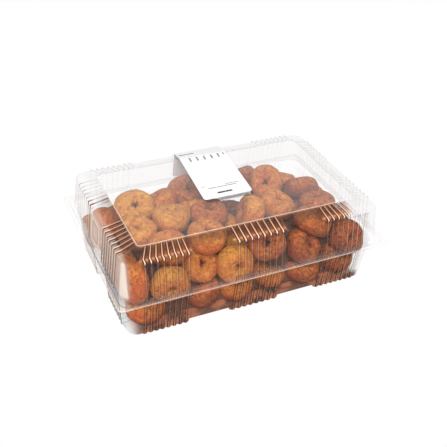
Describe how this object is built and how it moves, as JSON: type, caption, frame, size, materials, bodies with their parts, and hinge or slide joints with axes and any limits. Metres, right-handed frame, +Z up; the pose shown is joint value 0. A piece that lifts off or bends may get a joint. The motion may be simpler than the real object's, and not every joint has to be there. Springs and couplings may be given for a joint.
{
  "type": "box of doughnuts",
  "caption": "Clear hinged plastic box with fluted walls, shut over a heap of plain mini doughnuts, with a paper label folded over the back edge of its lid.",
  "frame": {"origin": "under the middle of the box, at the height of the soles of its feet", "axes": "+X along the long side, +Y from the front to the hinged back, +Z up"},
  "size_m": [0.34, 0.228, 0.1086],
  "materials": {
    "clear_plastic": "clear thermoformed sheet, high gloss",
    "label_paper": "smooth white paper",
    "doughnut_crust": "fried cake crust, matt and slightly granular"
  },
  "bodies": {
    "base": {"tray": "clear_plastic", "doughnut_heap": "doughnut_crust"},
    "cover": {"lid": "clear_plastic", "label": "label_paper"}
  },
  "joints": [
    {"name": "lid_hinge", "type": "hinge", "parent": "base", "child": "cover", "pos_m": [0, 0.1142, 0.058], "axis": [-1, 0, 0], "range_deg": [0, 180]}
  ]
}
